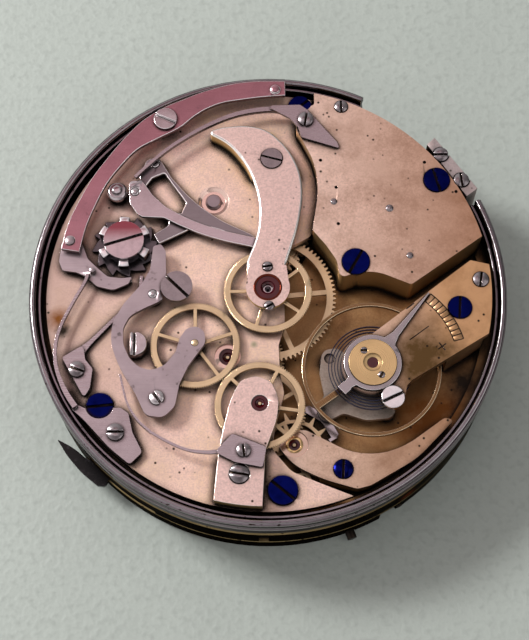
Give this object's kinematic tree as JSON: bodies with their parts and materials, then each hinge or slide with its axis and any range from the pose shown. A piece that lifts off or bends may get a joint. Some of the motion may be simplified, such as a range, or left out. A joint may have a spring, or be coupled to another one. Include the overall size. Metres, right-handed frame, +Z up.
{
  "type": "pocket watch movement",
  "caption": "Round chronograph pocket watch movement: gilt plates and bridges, going train, balance, column wheel, coupling wheel, hammer and levers, in an open dust ring.",
  "frame": {"origin": "on the axis of the centre arbor, at the level of the dial side rest face", "axes": "+Z up out of the works, away from the dial; the balance lies towards +X and -Y and the winding stem's hole towards +X and +Y"},
  "size_m": [0.0438, 0.0438, 0.0106],
  "materials": {
    "gilt_plate": "frosted rose gilding",
    "gilt_ring": "turned, darkened",
    "nickel_bridge": "frosted, rose nickel tone",
    "dark_ring": "turned and polished",
    "steel_part": "fine straight grain",
    "bright_steel": "mirror polished",
    "blued_steel": "heat blued and polished",
    "wheel_brass": "gilt, fine turned",
    "ruby": "polished red stone",
    "black_steel": "dark polished",
    "spring_steel": "polished spring steel"
  },
  "bodies": {
    "movement_frame": {"main_plate": "gilt_plate", "dial_side_ring": "gilt_ring", "dust_ring": "dark_ring", "chronograph_plate": "gilt_plate", "large_bridge": "gilt_plate", "escape_bridge": "gilt_plate", "pallet_bridge": "nickel_bridge", "balance_cock": "gilt_plate", "endstone_cap": "wheel_brass", "chronograph_bridge": "nickel_bridge", "drive_cock": "nickel_bridge", "case_fixings": "nickel_bridge", "blue_screws": "blued_steel", "steel_screws": "steel_part", "plate_jewels": "ruby", "jewel_settings": "wheel_brass", "hairspring": "spring_steel", "hairspring_stud": "bright_steel", "coupling_spring": "spring_steel", "column_wheel_screw": "steel_part", "column_jumper": "spring_steel", "lever_screws": "steel_part", "pawl_spring": "spring_steel", "hammer_spring": "spring_steel", "polished_post": "bright_steel", "eccentric_stop": "steel_part"},
    "barrel": {"barrel": "wheel_brass", "mainspring": "spring_steel"},
    "barrel_arbor": {"barrel_arbor": "steel_part", "ratchet_wheel": "steel_part"},
    "winding_wheel": {"winding_wheel": "steel_part"},
    "crown_wheel": {"crown_wheel": "steel_part"},
    "winding_arbor": {"winding_arbor": "steel_part"},
    "winding_pinion": {"winding_pinion": "steel_part"},
    "sliding_pinion": {"sliding_pinion": "steel_part"},
    "click": {"click": "steel_part"},
    "centre_wheel": {"centre_wheel": "wheel_brass"},
    "third_wheel": {"third_wheel": "wheel_brass"},
    "fourth_arbor": {"fourth_wheel": "wheel_brass", "driving_wheel": "wheel_brass"},
    "escape_wheel": {"escape_wheel": "wheel_brass"},
    "pallet_fork": {"pallet_fork": "steel_part"},
    "balance": {"balance_wheel": "wheel_brass", "balance_staff": "steel_part"},
    "regulator": {"regulator": "steel_part"},
    "chronograph_wheel": {"chronograph_wheel": "wheel_brass", "chronograph_arbor": "steel_part", "heart_cam": "steel_part"},
    "coupling_lever": {"coupling_lever": "steel_part", "coupling_lever_screw": "steel_part"},
    "coupling_wheel": {"coupling_wheel": "wheel_brass"},
    "column_wheel": {"column_wheel": "steel_part"},
    "operating_lever": {"operating_lever": "steel_part"},
    "pawl": {"pawl": "steel_part"},
    "hammer": {"hammer": "bright_steel"},
    "brake_lever": {"brake_lever": "steel_part"},
    "cannon_pinion": {"cannon_pinion": "steel_part"},
    "hour_wheel": {"hour_wheel": "wheel_brass"},
    "minute_wheel": {"minute_wheel": "wheel_brass"},
    "setting_lever": {"setting_lever": "black_steel"}
  },
  "joints": [
    {"name": "fourth_turn", "type": "hinge", "parent": "movement_frame", "child": "fourth_arbor", "pos_m": [-0.00085, -0.01088, 0.007], "axis": [0, 0, 1], "continuous": true},
    {"name": "barrel_turn", "type": "hinge", "parent": "movement_frame", "child": "barrel", "pos_m": [-0.005, 0.0094, 0.006], "axis": [0, 0, 1], "continuous": true},
    {"name": "centre_turn", "type": "hinge", "parent": "movement_frame", "child": "centre_wheel", "pos_m": [0, 0, 0.007], "axis": [0, 0, 1], "continuous": true},
    {"name": "third_turn", "type": "hinge", "parent": "movement_frame", "child": "third_wheel", "pos_m": [-0.00374, -0.00596, 0.007], "axis": [0, 0, 1], "continuous": true},
    {"name": "escape_turn", "type": "hinge", "parent": "movement_frame", "child": "escape_wheel", "pos_m": [0.00219, -0.01416, 0.007], "axis": [0, 0, 1], "continuous": true},
    {"name": "pallet_swing", "type": "hinge", "parent": "movement_frame", "child": "pallet_fork", "pos_m": [0.00505, -0.0114, 0.0065], "axis": [0, 0, 1], "range_deg": [-3.5, 3.5]},
    {"name": "balance_swing", "type": "hinge", "parent": "movement_frame", "child": "balance", "pos_m": [0.0093, -0.0073, 0.008], "axis": [0, 0, 1], "range_deg": [-270, 270]},
    {"name": "regulator_turn", "type": "hinge", "parent": "movement_frame", "child": "regulator", "pos_m": [0.0093, -0.0073, 0.0101], "axis": [0, 0, 1], "range_deg": [-36, 2]},
    {"name": "winding_turn", "type": "hinge", "parent": "movement_frame", "child": "barrel_arbor", "pos_m": [-0.005, 0.0094, 0.007], "axis": [0, 0, 1], "continuous": true},
    {"name": "winding_wheel_turn", "type": "hinge", "parent": "movement_frame", "child": "winding_wheel", "pos_m": [0.00194, 0.01166, 0.0073], "axis": [0, 0, 1], "continuous": true},
    {"name": "crown_wheel_turn", "type": "hinge", "parent": "movement_frame", "child": "crown_wheel", "pos_m": [0.00851, 0.01108, 0.0073], "axis": [0, 0, 1], "continuous": true},
    {"name": "winding_pinion_turn", "type": "hinge", "parent": "movement_frame", "child": "winding_pinion", "pos_m": [0.00993, 0.01293, 0.005], "axis": [0.6091, 0.7931, 0], "continuous": true},
    {"name": "winding_arbor_turn", "type": "hinge", "parent": "movement_frame", "child": "winding_arbor", "pos_m": [0.00993, 0.01293, 0.005], "axis": [0.6091, 0.7931, 0], "continuous": true},
    {"name": "sliding_pinion_slide", "type": "slide", "parent": "winding_arbor", "child": "sliding_pinion", "axis": [0.6091, 0.7931, 0], "range_m": [-0.0005, 0]},
    {"name": "click_swing", "type": "hinge", "parent": "movement_frame", "child": "click", "pos_m": [-0.0101, 0.0124, 0.0073], "axis": [0, 0, 1], "range_deg": [-2, 6]},
    {"name": "cannon_turn", "type": "hinge", "parent": "movement_frame", "child": "cannon_pinion", "pos_m": [0, 0, 0.0025], "axis": [0, 0, 1], "continuous": true},
    {"name": "hour_turn", "type": "hinge", "parent": "movement_frame", "child": "hour_wheel", "pos_m": [0, 0, 0.002], "axis": [0, 0, 1], "continuous": true},
    {"name": "minute_turn", "type": "hinge", "parent": "movement_frame", "child": "minute_wheel", "pos_m": [0.0034, 0.0022, 0.0025], "axis": [0, 0, 1], "continuous": true},
    {"name": "setting_lever_swing", "type": "hinge", "parent": "movement_frame", "child": "setting_lever", "pos_m": [-0.013, -0.0125, 0.0028], "axis": [0, 0, 1], "range_deg": [0, 12]},
    {"name": "chronograph_turn", "type": "hinge", "parent": "movement_frame", "child": "chronograph_wheel", "pos_m": [0, 0, 0.0092], "axis": [0, 0, 1], "continuous": true},
    {"name": "coupling_swing", "type": "hinge", "parent": "movement_frame", "child": "coupling_lever", "pos_m": [-0.0105, -0.0004, 0.0097], "axis": [0, 0, 1], "range_deg": [0, 2.5]},
    {"name": "coupling_wheel_turn", "type": "hinge", "parent": "coupling_lever", "child": "coupling_wheel", "pos_m": [-0.00664, -0.00516, 0.0092], "axis": [0, 0, 1], "continuous": true},
    {"name": "column_turn", "type": "hinge", "parent": "movement_frame", "child": "column_wheel", "pos_m": [-0.0132, 0.0048, 0.009], "axis": [0, 0, 1], "continuous": true},
    {"name": "operating_swing", "type": "hinge", "parent": "movement_frame", "child": "operating_lever", "pos_m": [-0.0095, 0.0172, 0.0098], "axis": [0, 0, 1], "range_deg": [-2, 0]},
    {"name": "pawl_swing", "type": "hinge", "parent": "operating_lever", "child": "pawl", "pos_m": [-0.0182, 0.0049, 0.0091], "axis": [0, 0, 1], "range_deg": [-3, 2]},
    {"name": "hammer_swing", "type": "hinge", "parent": "movement_frame", "child": "hammer", "pos_m": [-0.0123, 0.0099, 0.0096], "axis": [0, 0, 1], "range_deg": [-4.5, 0]},
    {"name": "brake_swing", "type": "hinge", "parent": "movement_frame", "child": "brake_lever", "pos_m": [-0.0105, 0.013, 0.0091], "axis": [0, 0, 1], "range_deg": [-2, 0]}
  ],
  "couplings": [
    {"joint": "third_turn", "follows": "fourth_turn", "ratio": -0.12222},
    {"joint": "centre_turn", "follows": "fourth_turn", "ratio": 0.016667},
    {"joint": "barrel_turn", "follows": "fourth_turn", "ratio": -0.0020833},
    {"joint": "escape_turn", "follows": "fourth_turn", "ratio": -10},
    {"joint": "coupling_wheel_turn", "follows": "fourth_turn", "ratio": -1},
    {"joint": "cannon_turn", "follows": "fourth_turn", "ratio": 0.016667},
    {"joint": "minute_turn", "follows": "fourth_turn", "ratio": -0.0055556},
    {"joint": "hour_turn", "follows": "fourth_turn", "ratio": 0.0013889},
    {"joint": "winding_wheel_turn", "follows": "winding_turn", "ratio": -1.0857},
    {"joint": "crown_wheel_turn", "follows": "winding_turn", "ratio": 1.2258},
    {"joint": "winding_pinion_turn", "follows": "winding_turn", "ratio": 1.8387},
    {"joint": "winding_arbor_turn", "follows": "winding_turn", "ratio": 1.8387}
  ]
}
